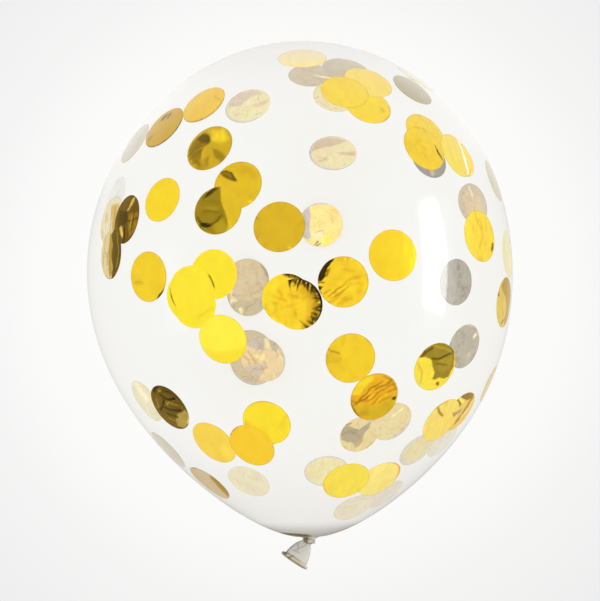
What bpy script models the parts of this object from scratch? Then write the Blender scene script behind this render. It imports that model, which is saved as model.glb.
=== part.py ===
"""Clear round party balloon, blown up to 30 cm and knotted, lying on its side.

The frame is in metres with +Z up. The balloon lies along Y with its crown towards +Y and its neck
towards -Y. The origin is the middle of the small flat that it rests on, under its widest ring.
"""

import math

import bmesh
import bpy
from mathutils import Matrix, Vector

# Body: an egg about the Y axis, fuller near the crown than near the neck.
BODY_DIAMETER = 0.300
BODY_HALF_LENGTH = 0.175
CROWN_STRETCH = 0.0008  # how much longer the crown's half is than the neck's
# The radius is an ellipse's times 1 + the sum of these times rising powers of the sine of the latitude.
BODY_FULLNESS = (0.080, -0.069, 0.102, -0.086)
BODY_BOW = 0.0030  # how far both ends drift towards +X from the middle of the belly
BODY_BOW_REACH = 0.144  # the distance from the belly at which the drift is greatest
FLAT_DEPTH = 0.0015  # how far the belly is pressed in where it rests
BODY_SIDES = 64
BODY_RINGS = 40

# Neck: the skin gathers in a small fillet to the stem that the knot is tied in.
NECK_FILLET_RADIUS = 0.0095
NECK_FILLET_HEIGHT = 0.0018
NECK_FILLET_RINGS = 4
STEM_RADIUS = 0.0034
STEM_LENGTH = 0.0042

# Knot: one fat turn of rolled latex round the stem.
KNOT_X = 0.0010
KNOT_BELOW_BODY = 0.0021  # from the body's neck end to the middle of the knot
KNOT_TURN_RADIUS = 0.0024
KNOT_ROLL_RADIUS = 0.0019
KNOT_TILT = math.radians(12)
KNOT_SIDES = 24
KNOT_ROLL_SIDES = 12

# Tail: the rest of the neck tube, a bell that flares from the knot to a rolled lip.
TAIL_LENGTH = 0.0168
TAIL_LEAN = math.radians(35)  # from -Y towards -X
TAIL_RISE = math.radians(6)  # from level towards +Z
TAIL_ROOT_SHIFT = 0.0003  # the root sits this far towards -X in the knot
TAIL_ROOT_RADIUS = 0.0022
TAIL_BELL_RADIUS = 0.0100  # what the bell would flare to if it were long
TAIL_FLARE = 0.0090  # how far from the knot two thirds of the flare is done
TAIL_WALL = 0.0009
TAIL_MOUTH_DEPTH = 0.0105
TAIL_FLATNESS = 0.70  # height over width, as the empty tube falls flatter than round
LIP_ROLL_RADIUS = 0.0012
LIP_ROLL_SIDES = 10
TAIL_SIDES = 32
TAIL_RINGS = 9

LATEX_COLOUR = (0.90, 0.89, 0.86, 1.0)
LATEX_ROUGHNESS = 0.15


def body_point(latitude):
    """Radius and place along the axis of the egg, from -90 degrees at the neck to 90 at the crown."""
    sine = math.sin(latitude)
    fullness = 1.0 + sum(share * sine ** (power + 1) for power, share in enumerate(BODY_FULLNESS))
    radius = math.cos(latitude) * fullness
    along = BODY_HALF_LENGTH * sine + CROWN_STRETCH * sine * sine
    return radius, along


def widest_ring():
    """The egg's largest unscaled radius and its place along the axis."""
    steps = 2000
    points = (body_point(math.pi * (step / steps - 0.5)) for step in range(1, steps))
    return max(points)


def body_bow(y):
    """Sideways drift of the body's middle line at y."""
    return BODY_BOW * math.sin(0.5 * math.pi * y / BODY_BOW_REACH) ** 2


UNIT_RADIUS, BELLY_ALONG = widest_ring()
BODY_SCALE = 0.5 * BODY_DIAMETER / UNIT_RADIUS
AXIS_HEIGHT = 0.5 * BODY_DIAMETER - FLAT_DEPTH
NECK_END_Y = body_point(-0.5 * math.pi)[1] - BELLY_ALONG


def body_profile():
    """Radius and y from the crown to the end of the stem inside the knot."""
    profile = []
    for ring in range(BODY_RINGS + 1):
        radius, along = body_point(math.pi * (0.5 - ring / BODY_RINGS))
        if ring > BODY_RINGS // 2 and radius * BODY_SCALE < NECK_FILLET_RADIUS:
            break
        profile.append((max(radius, 0.0) * BODY_SCALE, along - BELLY_ALONG))
    start_radius, start_y = profile[-1]
    stem_y = NECK_END_Y - NECK_FILLET_HEIGHT
    for ring in range(1, NECK_FILLET_RINGS + 1):
        turn = 0.5 * math.pi * ring / NECK_FILLET_RINGS
        radius = start_radius + (STEM_RADIUS - start_radius) * math.sin(turn)
        profile.append((radius, start_y + (stem_y - start_y) * (1.0 - math.cos(turn))))
    profile.append((STEM_RADIUS, NECK_END_Y - STEM_LENGTH))
    profile.append((0.0, NECK_END_Y - STEM_LENGTH))
    profile[0] = (0.0, profile[0][1])
    return profile


def tail_profile():
    """Radius and distance from the knot, out along the bell, round the lip and back down the mouth."""
    outside = []
    for ring in range(TAIL_RINGS):
        reach = TAIL_LENGTH * ring / TAIL_RINGS
        outside.append((bell_radius(reach), reach))
    lip_radius = bell_radius(TAIL_LENGTH) + 0.5 * LIP_ROLL_RADIUS
    lip = []
    for side in range(LIP_ROLL_SIDES + 1):
        turn = math.radians(-110 + 310 * side / LIP_ROLL_SIDES)
        lip_y = TAIL_LENGTH + LIP_ROLL_RADIUS * math.sin(turn)
        lip.append((lip_radius + LIP_ROLL_RADIUS * math.cos(turn), lip_y))
    inside = []
    for ring in range(2, TAIL_RINGS):
        depth = TAIL_MOUTH_DEPTH * ring / TAIL_RINGS
        inside.append((bell_radius(TAIL_LENGTH - depth) - TAIL_WALL, TAIL_LENGTH - depth))
    root = [(0.0, 0.0)]
    mouth_end = [(0.0, TAIL_LENGTH - TAIL_MOUTH_DEPTH)]
    return root + outside + lip + inside + mouth_end


def bell_radius(reach):
    """Outer radius of the tail at a distance from the knot."""
    opened = 1.0 - math.exp(-reach / TAIL_FLARE)
    return TAIL_ROOT_RADIUS + (TAIL_BELL_RADIUS - TAIL_ROOT_RADIUS) * opened


def turned(name, profile, sides):
    """A closed mesh made by spinning (radius, y) points round the Y axis."""
    build = bmesh.new()
    points = [build.verts.new((radius, y, 0.0)) for radius, y in profile]
    edges = [build.edges.new(pair) for pair in zip(points, points[1:])]
    bmesh.ops.spin(
        build,
        geom=points + edges,
        cent=(0.0, 0.0, 0.0),
        axis=(0.0, 1.0, 0.0),
        angle=2.0 * math.pi,
        steps=sides,
        use_merge=True,
    )
    return closed_mesh(name, build)


def closed_mesh(name, build):
    """Finish a bmesh: merge the poles, face the surface outwards and shade it smooth."""
    bmesh.ops.remove_doubles(build, verts=build.verts, dist=1e-6)
    bmesh.ops.recalc_face_normals(build, faces=build.faces)
    mesh = bpy.data.meshes.new(name)
    build.to_mesh(mesh)
    build.free()
    mesh.shade_smooth()
    mesh.set_sharp_from_angle(angle=math.radians(40))
    return mesh


def ring_profile(turn_radius, roll_radius, sides):
    """A closed circle off the axis, for a ring."""
    angles = [2.0 * math.pi * side / sides for side in range(sides + 1)]
    return [
        (turn_radius + roll_radius * math.cos(angle), roll_radius * math.sin(angle))
        for angle in angles
    ]


def bowed_and_rested(mesh):
    """Drift the ends of the body sideways, lift it to its height and press its rest flat."""
    build = bmesh.new()
    build.from_mesh(mesh)
    for point in build.verts:
        point.co.x += body_bow(point.co.y)
        point.co.z += AXIS_HEIGHT
    cut = bmesh.ops.bisect_plane(
        build,
        geom=build.verts[:] + build.edges[:] + build.faces[:],
        dist=1e-7,
        plane_co=(0.0, 0.0, 0.0),
        plane_no=(0.0, 0.0, 1.0),
        clear_inner=True,
    )
    rim = [part for part in cut["geom_cut"] if isinstance(part, bmesh.types.BMEdge)]
    bmesh.ops.edgeloop_fill(build, edges=rim)
    bmesh.ops.recalc_face_normals(build, faces=build.faces)
    build.to_mesh(mesh)
    build.free()


def latex_material():
    material = bpy.data.materials.new("clear_latex")
    material.use_nodes = True
    shader = material.node_tree.nodes["Principled BSDF"]
    shader.inputs["Base Color"].default_value = LATEX_COLOUR
    shader.inputs["Roughness"].default_value = LATEX_ROUGHNESS
    shader.inputs["Metallic"].default_value = 0.0
    return material


def add_object(name, mesh):
    new = bpy.data.objects.new(name, mesh)
    bpy.context.scene.collection.objects.link(new)
    return new


def joined_by(host, helper):
    """Fuse a helper into the host with an exact union, and keep the helper as a guide."""
    union = host.modifiers.new(helper.name, "BOOLEAN")
    union.operation = "UNION"
    union.solver = "EXACT"
    union.object = helper
    helper.hide_render = True
    helper.display_type = "WIRE"


def knot_place():
    return Vector((KNOT_X, NECK_END_Y - KNOT_BELOW_BODY, AXIS_HEIGHT))


def make_knot():
    profile = ring_profile(KNOT_TURN_RADIUS, KNOT_ROLL_RADIUS, KNOT_ROLL_SIDES)
    knot = add_object("knot_guide", turned("knot_guide", profile, KNOT_SIDES))
    knot.matrix_world = Matrix.Translation(knot_place()) @ Matrix.Rotation(-KNOT_TILT, 4, "Z")
    return knot


def make_tail():
    """The bell points along +Y when turned; it is flattened, raised, leaned and hung from the knot."""
    tail = add_object("tail_guide", turned("tail_guide", tail_profile(), TAIL_SIDES))
    tail.data.transform(Matrix.Scale(TAIL_FLATNESS, 4, (0.0, 0.0, 1.0)))
    root = knot_place() - Vector((TAIL_ROOT_SHIFT, 0.0, 0.0))
    turn = Matrix.Rotation(math.pi - TAIL_LEAN, 4, "Z") @ Matrix.Rotation(TAIL_RISE, 4, "X")
    tail.matrix_world = Matrix.Translation(root) @ turn
    return tail


def make_balloon():
    mesh = turned("balloon", body_profile(), BODY_SIDES)
    bowed_and_rested(mesh)
    balloon = add_object("balloon", mesh)
    mesh.materials.append(latex_material())
    joined_by(balloon, make_knot())
    joined_by(balloon, make_tail())


def clear_scene():
    for old in list(bpy.data.objects):
        bpy.data.objects.remove(old)


def main():
    clear_scene()
    make_balloon()


if __name__ == "__main__":
    main()
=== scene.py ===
"""Confetti balloon: a clear latex party balloon with gold foil circles clinging inside.

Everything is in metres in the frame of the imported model: +Z up, +Y from the neck to the crown,
the origin in the middle of the small flat that the balloon rests on.
"""

import math
import random

import bmesh
import bpy
import numpy as np
from bpy.props import FloatProperty, FloatVectorProperty, PointerProperty
from mathutils import Matrix, Vector


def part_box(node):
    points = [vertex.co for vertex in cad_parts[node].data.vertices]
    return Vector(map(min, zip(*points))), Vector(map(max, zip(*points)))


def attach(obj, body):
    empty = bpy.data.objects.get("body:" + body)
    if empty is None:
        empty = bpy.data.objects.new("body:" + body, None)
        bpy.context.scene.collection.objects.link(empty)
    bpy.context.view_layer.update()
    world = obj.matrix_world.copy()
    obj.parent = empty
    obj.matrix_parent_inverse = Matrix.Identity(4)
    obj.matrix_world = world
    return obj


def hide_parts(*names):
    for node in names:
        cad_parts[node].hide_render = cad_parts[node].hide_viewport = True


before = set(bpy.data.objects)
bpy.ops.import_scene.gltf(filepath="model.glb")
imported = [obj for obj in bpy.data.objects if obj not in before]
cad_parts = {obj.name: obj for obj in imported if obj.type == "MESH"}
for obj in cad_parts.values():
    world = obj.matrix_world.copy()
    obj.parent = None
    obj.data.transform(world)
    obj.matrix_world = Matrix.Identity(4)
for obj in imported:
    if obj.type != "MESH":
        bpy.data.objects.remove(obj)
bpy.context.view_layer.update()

bl_info = {
    "name": "Confetti Balloon",
    "version": (1, 0, 0),
    "blender": (4, 5, 0),
    "location": "3D View > Sidebar > Balloon",
    "description": "Builds a clear balloon filled with gold foil confetti, and its small studio",
    "category": "Add Mesh",
}

MM = 0.001
LOW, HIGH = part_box("balloon")

# Body: an egg about the Y axis, fuller near the crown than near the neck.
BODY_HALF_LENGTH = 0.175
CROWN_STRETCH = 0.0008
BODY_FULLNESS = (0.080, -0.069, 0.102, -0.086)
BODY_BOW = 0.0030  # how far the middle line drifts to +X at the reach on either side of the belly
BODY_BOW_REACH = 0.144
FLAT_DEPTH = 0.0015
BODY_SIDES = 144
BODY_RINGS = 96

# Neck: a small fillet into the stem that the knot is tied in.
NECK_FILLET_RADIUS = 0.0095
NECK_FILLET_HEIGHT = 0.0018
NECK_FILLET_RINGS = 8
STEM_RADIUS = 0.0034
STEM_LENGTH = 0.0042

# Knot: a fat turn of rolled latex round the stem, tilted a little.
KNOT_X = 0.0010
KNOT_BELOW_BODY = 0.0021
KNOT_TURN_RADIUS = 0.0022
KNOT_ROLL_RADIUS = 0.0019
KNOT_TILT = math.radians(12)
KNOT_SIDES = 64
KNOT_ROLL_SIDES = 32
KNOT_TWIST = 0.07
KNOT_LUMPS = 0.05

# Tail: a bell that flares from the knot to a rolled lip.
TAIL_LENGTH = 0.0168
TAIL_LEAN = math.radians(35)
TAIL_RISE = math.radians(6)
TAIL_ROOT_SHIFT = 0.0003
TAIL_ROOT_RADIUS = 0.0022
TAIL_BELL_RADIUS = 0.0100
TAIL_FLARE = 0.0090
TAIL_WALL = 0.0005
TAIL_MOUTH_DEPTH = 0.0150
TAIL_FLATNESS = 0.70
TAIL_SIDES = 96
TAIL_RINGS = 26
TAIL_FOLD = 0.06  # depth of its three folds at the lip, as a share of its radius
TAIL_ROOT_FOLD = 0.05  # what the folds gain at the root
LIP_ROLL_RADIUS = 0.0012
LIP_START = math.radians(-110)
LIP_SWEEP = math.radians(310)
LIP_SIDES = 16

# Film: its optical depth looked at straight on, with more near the neck and on the crown.
FILM_HAZE = 0.026
NECK_HAZE = 0.055
NECK_HAZE_END = -0.06
CROWN_HAZE = 0.05
CROWN_HAZE_Y = (0.12, 0.16)  # a soft step: where it starts and where it is full
GRAZING = 0.09  # the cosine below which the way through the film grows no longer

# The film is gathered at the neck. On its -X side a dark crescent is painted into what it lets through:
# painted shade along a fold that the mesh does not have, over latex that is thicker there.
GATHER_HAZE = 0.3
GATHER_LENGTH = 0.012
TUCK_SHADE_DEPTH = 0.8
TUCK_RISE = 0.0024
TUCK_SLANT = 0.1
TUCK_EDGE = (0.0, 0.0005)
TUCK_FADE = (0.0007, 0.0018)
TUCK_FADE_SHARE = 0.6
TUCK_SIDE = (-0.001, 0.004)
TUCK_SHADE_TINT = (0.34, 0.26, 0.13)

# The share of light that the film mirrors: all over, on the shoulder, and at the limb.
MIRROR = 0.007
# The shoulder's extra mirror is a patch placed so that the soft box shows there as a highlight: a real
# reflection, put in place by the patch and not by the skin's shape.
SHOULDER_HIGHLIGHT_MIRROR = 0.12
SHOULDER_X = ((0.078, 0.084), (0.100, 0.108))
SHOULDER_Y = ((-0.055, -0.04), (0.03, 0.045))
LIMB_MIRROR = 0.08
LIMB_START = 0.2
CROWN_MIRROR = 0.72  # what the limb gains towards the crown
CROWN_MIRROR_Y = (0.04, 0.10)
MIRROR_TONE = 0.82
FILM_ROUGHNESS = 0.06

# Slack or rolled latex.
SLACK_ALPHA = 0.88
SLACK_ROUGHNESS = 0.3

# Confetti: round foil, a little narrower or shorter where it is curled.
FOIL_CELLS = 48
FOIL_THICKNESS = 0.06 * MM
FOIL_CLEARANCE = 0.30 * MM
FOIL_LAYER = 0.25 * MM
FOIL_WAVE = 0.05 * MM
RIPPLE = 0.03  # how far the rim of a mark wanders, in half widths of a circle
EDGE_START = 0.98
# Painted shade: the cut edge of a circle is drawn darker and warmer.
EDGE_SHADE_NEAR = 0.14  # how much darker the cut edge is on a near circle
EDGE_SHADE_FAR = 0.07
# Crumple: fold lines that are only painted into the foil's colour, as darker and warmer shade.
CRUMPLE_OCTAVES = ((2.2, 0.08), (4.0, 0.12), (7.0, 0.18))  # pitch and width of the folds
CRUMPLE_FOLD_SHADE = 0.15
CRUMPLE_SHADE = 0.02
CRUMPLE_WARMTH = 0.5
HIDDEN_LEVEL = 0.95  # the level of the faces turned away
# Painted shade in the folds of the faces turned away.
HIDDEN_FOLD_SHADE = 0.17  # what their soft folds take off it
HIDDEN_CRUMPLE_SHADE = 0.1  # what their fine folds take off it
# The streaks are bumps, and they also vary the foil's colour: random tone, and painted sheen.
STREAK_STRETCH = (2.2, 0.8, 1.0)  # the foil's rolling marks run along the circle
STREAKS = {"Scale": 2.0, "Detail": 4.0, "Distortion": 0.6}
FINE_GRAIN = {"Scale": 7.0, "Detail": 3.0}
GRAIN_LEVEL = 0.90
STREAK_SHADE = 0.22
FINE_SHADE = 0.06
FINE_DEPTH = 0.25  # of the fine grain's bumps, as a share of the streaks'
BUMP_STRENGTH = 0.6
SEED_STEP = 3.7  # keeps the noise on one circle apart from the next one's
GOLD_GLANCE = (1.0, 0.85, 0.55)  # the foil's own colour where it is seen edge on
SILVER_GLANCE = (1.0, 1.0, 1.0)
DOME_LEVEL = 1.3  # the brightness all round, which the foil mirrors

# Painted tones of the foil, standing in for what it mirrors, from black painted folds through the foil in
# even white light near level 1 to painted glints above it: level, gold side, silver side. The knot and tail
# take their tones from it too.
TONES = (
    (0.0, (10, 7, 1), (20, 20, 19)),
    (0.2, (66, 50, 6), (70, 68, 64)),
    (0.4, (120, 94, 10), (118, 115, 110)),
    (0.6, (174, 141, 22), (166, 161, 154)),
    (0.8, (220, 182, 36), (212, 206, 199)),
    (0.9, (243, 208, 42), (233, 229, 222)),
    (1.0, (258, 232, 50), (251, 249, 244)),
    (1.1, (272, 245, 80), (262, 261, 258)),
    (1.2, (282, 255, 110), (270, 270, 268)),
    (1.3, (288, 264, 140), (280, 280, 278)),
)
# What full warmth takes from the red, green and blue of a tone.
WARMTH = np.array((0.0, 0.25, 0.3))


def linear(colours):
    """Colours as a paint card gives them, 0 to 255, made linear."""
    return ((np.asarray(colours, dtype=float) / 255 + 0.055) / 1.055) ** 2.4


def foil_tone(level, gold=1.0, warm=0.0):
    """Tones of the foil: how bright its painted reflection is, how far from silver to gold, and how orange.
    """
    level, gold, warm = (part[..., None] for part in np.broadcast_arrays(level, gold, warm))
    levels, *sides = zip(*TONES)
    golden, silver = (
        np.concatenate([np.interp(level, levels, row) for row in linear(side).T], axis=-1)
        for side in sides
    )
    return (golden * gold + silver * (1.0 - gold)) * (1.0 - warm * WARMTH)


# ---------------------------------------------------------------- settings


class BalloonSettings(bpy.types.PropertyGroup):
    film_tint: FloatVectorProperty(
        name="Film tint",
        description="What one wall of the skin lets through where it is looked at straight on",
        default=(0.990, 0.990, 0.976),
        subtype="COLOR",
        size=3,
    )
    edge_tint: FloatVectorProperty(
        name="Edge tint",
        description="What the skin lets through where it is looked along, or is thick",
        default=(0.58, 0.555, 0.52),
        subtype="COLOR",
        size=3,
    )


class ConfettiSettings(bpy.types.PropertyGroup):
    roughness: FloatProperty(
        name="Roughness",
        description="Roughness of the foil",
        default=0.24,
        min=0.0,
        max=1.0,
        subtype="FACTOR",
    )
    crinkle: FloatProperty(
        name="Crinkle",
        description="Depth of the foil's fine creases",
        default=0.40 * MM,
        unit="LENGTH",
    )


class StudioSettings(bpy.types.PropertyGroup):
    floor_size: FloatProperty(
        name="Floor size",
        description="Side of the square floor",
        default=60.0,
        unit="LENGTH",
    )
    camera_distance: FloatProperty(
        name="Camera distance",
        description="Distance from the balloon's middle to the camera",
        default=2.1,
        unit="LENGTH",
    )
    lens: FloatProperty(
        name="Lens",
        description="Focal length in millimetres",
        default=178.29,
        unit="CAMERA",
    )


# ---------------------------------------------------------------- shader maths


class Socket:
    """A node's output. Arithmetic on it adds Math nodes to its tree."""

    def __init__(self, graph, socket):
        self.graph = graph
        self.socket = socket

    def math(self, operation, *values):
        return self.graph.math(operation, self, *values)

    def __add__(self, other):
        return self.math("ADD", other)

    def __mul__(self, other):
        return self.math("MULTIPLY", other)

    def __sub__(self, other):
        return self.math("SUBTRACT", other)

    def __rsub__(self, other):
        return self.graph.math("SUBTRACT", other, self)

    def __truediv__(self, other):
        return self.math("DIVIDE", other)

    def __pow__(self, other):
        return self.math("POWER", other)

    def __neg__(self):
        return self * -1.0

    __radd__ = __add__
    __rmul__ = __mul__

    def exp(self):
        return self.math("EXPONENT")

    def most(self, other):
        return self.math("MAXIMUM", other)

    def between(self, low, high):
        """0 up to low, 1 from high on, and a smooth step between."""
        settings = {"interpolation_type": "SMOOTHSTEP"}
        sockets = {"Value": self, "From Min": low, "From Max": high}
        return self.graph.node("MapRange", settings, sockets)

    def band(self, rise, fall):
        """1 from the end of the rise to the start of the fall, and 0 beyond both."""
        return self.between(*rise) * (1.0 - self.between(*fall))


class Graph:
    """A node tree under construction."""

    def __init__(self, tree):
        self.tree = tree
        tree.nodes.clear()

    def node(self, kind, settings=None, sockets=None, output=None):
        """Add a node: its settings first, then the values or links of its sockets."""
        made = self.tree.nodes.new("ShaderNode" + kind)
        for name, value in (settings or {}).items():
            if name == "stops":
                self.set_stops(made.color_ramp, value)
            else:
                setattr(made, name, value)
        open_inputs = [socket for socket in made.inputs if socket.enabled]
        for name, value in (sockets or {}).items():
            if isinstance(name, int):
                target = open_inputs[name]
            else:
                target = next(socket for socket in open_inputs if socket.name == name)
            if isinstance(value, Socket):
                self.tree.links.new(value.socket, target)
            else:
                target.default_value = value
        outputs = [socket for socket in made.outputs if socket.enabled]
        named = [socket for socket in outputs if output in (None, socket.name)]
        return Socket(self, named[0]) if named else None

    def math(self, operation, *values):
        return self.node("Math", {"operation": operation}, dict(enumerate(values)))

    def colour_mix(self, factor, first, second, blend="MIX"):
        settings = {"data_type": "RGBA", "blend_type": blend}
        return self.node("Mix", settings, {"Factor": factor, "A": first, "B": second})

    def axes(self, vector):
        """The x, y and z of a vector."""
        return [self.node("SeparateXYZ", sockets={"Vector": vector}, output=axis) for axis in "XYZ"]

    def finish(self, surface, kind="OutputMaterial"):
        self.node(kind, sockets={"Surface": surface})

    @staticmethod
    def set_stops(ramp, stops):
        """Each stop is its place and its colour."""
        while len(ramp.elements) < len(stops):
            ramp.elements.new(0.5)
        for element, (place, colour) in zip(ramp.elements, stops):
            element.position = place
            element.color = colour


def opaque(colour):
    return (*colour, 1.0)


def grey(level):
    return opaque((level,) * 3)


def new_material(name):
    material = bpy.data.materials.new(name)
    material.use_nodes = True
    return material, Graph(material.node_tree)


# ---------------------------------------------------------------- shape of the body


def egg(latitude):
    """Unscaled radius and place along the axis, for an array of latitudes."""
    sine = np.sin(latitude)
    fullness = 1.0 + sum(share * sine ** (power + 1) for power, share in enumerate(BODY_FULLNESS))
    return np.cos(latitude) * fullness, BODY_HALF_LENGTH * sine + CROWN_STRETCH * sine * sine


LATITUDES = np.linspace(-0.5 * math.pi, 0.5 * math.pi, 4001)
LATITUDE_STEP = 1e-4
NEAREST_STEPS = 5  # Newton steps to the skin's nearest place
EGG_RADIUS, EGG_ALONG = egg(LATITUDES)
BODY_RADIUS = 0.5 * (HIGH[0] - LOW[0])
BODY_SCALE = BODY_RADIUS / EGG_RADIUS.max()
BELLY_ALONG = EGG_ALONG[EGG_RADIUS.argmax()]
AXIS_HEIGHT = BODY_RADIUS - FLAT_DEPTH
NECK_END_Y = EGG_ALONG[0] - BELLY_ALONG


def body_at(latitude):
    """Radius and y of the skin at an array of latitudes."""
    radius, along = egg(latitude)
    return radius * BODY_SCALE, along - BELLY_ALONG


def latitude_at(y):
    """Latitude of the ring of the body at y."""
    return np.interp(y, EGG_ALONG - BELLY_ALONG, LATITUDES)


def bow(y):
    """Sideways drift of the body's middle line at y."""
    return BODY_BOW * np.sin(0.5 * math.pi * y / BODY_BOW_REACH) ** 2


def body_profile():
    """Radius and y from the crown to the end of the stem inside the knot."""
    latitudes = np.linspace(0.5 * math.pi, -0.5 * math.pi, BODY_RINGS + 1)
    radii, ys = body_at(latitudes)
    on_body = (latitudes > -1.0) | (radii > NECK_FILLET_RADIUS)
    profile = [(max(radius, 0.0), y) for radius, y, kept in zip(radii, ys, on_body) if kept]
    profile[0] = (0.0, profile[0][1])
    start_radius, start_y = profile[-1]
    stem_y = NECK_END_Y - NECK_FILLET_HEIGHT
    for ring in range(1, NECK_FILLET_RINGS + 1):
        turn = 0.5 * math.pi * ring / NECK_FILLET_RINGS
        radius = start_radius + (STEM_RADIUS - start_radius) * math.sin(turn)
        profile.append((radius, start_y + (stem_y - start_y) * (1.0 - math.cos(turn))))
    end_y = NECK_END_Y - STEM_LENGTH
    return profile + [(STEM_RADIUS, end_y), (0.0, end_y)]


def spun(profile, sides):
    """A bmesh made by turning (radius, y) points round the Y axis."""
    build = bmesh.new()
    points = [build.verts.new((radius, y, 0.0)) for radius, y in profile]
    edges = [build.edges.new(pair) for pair in zip(points, points[1:])]
    bmesh.ops.spin(
        build,
        geom=points + edges,
        cent=(0.0, 0.0, 0.0),
        axis=(0.0, 1.0, 0.0),
        angle=2.0 * math.pi,
        steps=sides,
        use_merge=True,
    )
    bmesh.ops.remove_doubles(build, verts=build.verts, dist=1e-6)
    bmesh.ops.recalc_face_normals(build, faces=build.faces)
    return build


def piece_from(build, name, material):
    """Turn a finished bmesh into a smooth piece of the balloon."""
    mesh = bpy.data.meshes.new(name)
    build.to_mesh(mesh)
    build.free()
    mesh.shade_smooth()
    return piece_of(mesh, material)


def piece_of(mesh, material):
    piece = bpy.data.objects.new(mesh.name, mesh)
    bpy.context.scene.collection.objects.link(piece)
    mesh.materials.append(material)
    return piece


# ---------------------------------------------------------------- latex


def film_material(settings):
    """Clear thin latex: it lets light through, and mirrors it at a glance."""
    material, graph = new_material("clear_latex")
    x, y, _ = graph.axes(graph.node("TexCoord", output="Object"))
    facing = graph.node("LayerWeight", sockets={"Blend": 0.5}, output="Facing")
    neck = 1.0 - y.between(NECK_END_Y, NECK_HAZE_END)
    crown = y.between(*CROWN_HAZE_Y)
    gather = 1.0 - y.between(NECK_END_Y, NECK_END_Y + GATHER_LENGTH)
    # Painted shade: a dark crescent near the neck on the -X side, where a fold would be.
    into_tuck = NECK_END_Y + TUCK_RISE - TUCK_SLANT * x - y
    tuck = into_tuck.between(*TUCK_EDGE) * (1.0 - TUCK_FADE_SHARE * into_tuck.between(*TUCK_FADE))
    tuck = tuck * (1.0 - x.between(*TUCK_SIDE))
    depth = FILM_HAZE + neck**2.0 * NECK_HAZE + crown * CROWN_HAZE
    depth = depth + gather * GATHER_HAZE + tuck * TUCK_SHADE_DEPTH
    veil = 1.0 - (-(depth / (1.0 - facing).most(GRAZING))).exp()
    clear = graph.node("BsdfTransparent", sockets={"Color": opaque(settings.film_tint)})
    deep_tint = graph.colour_mix(tuck, opaque(settings.edge_tint), opaque(TUCK_SHADE_TINT))
    deep = graph.node("BsdfTransparent", sockets={"Color": deep_tint})
    through = graph.node("MixShader", sockets={0: veil, 1: clear, 2: deep})
    looks = {"Base Color": grey(MIRROR_TONE), "Metallic": 1.0, "Roughness": FILM_ROUGHNESS}
    gloss = graph.node("BsdfPrincipled", sockets=looks)
    # A patch of extra mirror on the +X shoulder, placed to show the soft box's highlight there.
    shoulder = SHOULDER_HIGHLIGHT_MIRROR * x.band(*SHOULDER_X) * y.band(*SHOULDER_Y)
    limb = LIMB_MIRROR + CROWN_MIRROR * y.between(*CROWN_MIRROR_Y)
    mirror = MIRROR + shoulder + limb * (facing - LIMB_START).most(0.0) ** 2.0
    graph.finish(graph.node("MixShader", sockets={0: mirror, 1: through, 2: gloss}))
    return material


def slack_material():
    """Slack or rolled latex, nearly solid, with a tone at each place: its own colour, with painted shade in
    its folds and a painted highlight.
    """
    material, graph = new_material("slack_latex")
    tint = graph.node("Attribute", {"attribute_name": "latex_tint"}, output="Color")
    looks = {"Base Color": tint, "Roughness": SLACK_ROUGHNESS, "Alpha": SLACK_ALPHA}
    graph.finish(graph.node("BsdfPrincipled", sockets=looks))
    return material


def tint_points(mesh, name, tones):
    """Give each point the colour that shows its tone under the dome."""
    shares = np.clip(tones / DOME_LEVEL, 0.0, 1.0)
    tint = mesh.attributes.new(name, "FLOAT_COLOR", "POINT")
    tint.data.foreach_set("color", np.insert(shares, 3, 1.0, axis=1).ravel())


def paint(piece, base, marks, u, v):
    """Give each point of a latex piece its tone: its own colour, with painted shade and highlights from its
    marks.
    """
    tint_points(piece.data, "latex_tint", foil_tone(*with_painted_light(base, marks, u, v)))
    return piece


def make_skin(settings):
    build = spun(body_profile(), BODY_SIDES)
    for point in build.verts:
        point.co.x += float(bow(point.co.y))
        point.co.z += AXIS_HEIGHT
    cut = bmesh.ops.bisect_plane(
        build,
        geom=build.verts[:] + build.edges[:] + build.faces[:],
        dist=1e-7,
        plane_co=(0.0, 0.0, 0.0),
        plane_no=(0.0, 0.0, 1.0),
        clear_inner=True,
    )
    rim = [part for part in cut["geom_cut"] if isinstance(part, bmesh.types.BMEdge)]
    bmesh.ops.edgeloop_fill(build, edges=rim)
    bmesh.ops.recalc_face_normals(build, faces=build.faces)
    return piece_from(build, "balloon_skin", film_material(settings))


def knot_place():
    return Vector((KNOT_X, NECK_END_Y - KNOT_BELOW_BODY, AXIS_HEIGHT))


def make_knot(material):
    """The main turn, its roll twisted by shallow folds."""
    profile = []
    for side in range(KNOT_ROLL_SIDES + 1):
        turn = 2.0 * math.pi * side / KNOT_ROLL_SIDES
        radius = KNOT_TURN_RADIUS + KNOT_ROLL_RADIUS * math.cos(turn)
        profile.append((radius, KNOT_ROLL_RADIUS * math.sin(turn)))
    build = spun(profile, KNOT_SIDES)
    for point in build.verts:
        about = math.atan2(point.co.z, point.co.x)
        core = Vector((math.cos(about), 0.0, math.sin(about))) * KNOT_TURN_RADIUS
        out = point.co - core
        across = math.atan2(out.y, math.hypot(point.co.x, point.co.z) - KNOT_TURN_RADIUS)
        twist = KNOT_TWIST * math.sin(3.0 * across + 2.0 * about)
        point.co = core + out * (1.0 + twist + KNOT_LUMPS * math.cos(3.0 * about + 1.0))
    spots = np.array([point.co for point in build.verts]) / (KNOT_TURN_RADIUS + KNOT_ROLL_RADIUS)
    place = Matrix.Translation(knot_place()) @ Matrix.Rotation(-KNOT_TILT, 4, "Z")
    bmesh.ops.transform(build, matrix=place, verts=build.verts)
    piece = piece_from(build, "knot", material)
    return paint(piece, (0.74, 0.12, 0.3), KNOT_MARKS, spots[:, 0], spots[:, 1])


def bell_radius(reach):
    opened = 1.0 - math.exp(-reach / TAIL_FLARE)
    return TAIL_ROOT_RADIUS + (TAIL_BELL_RADIUS - TAIL_ROOT_RADIUS) * opened


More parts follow.
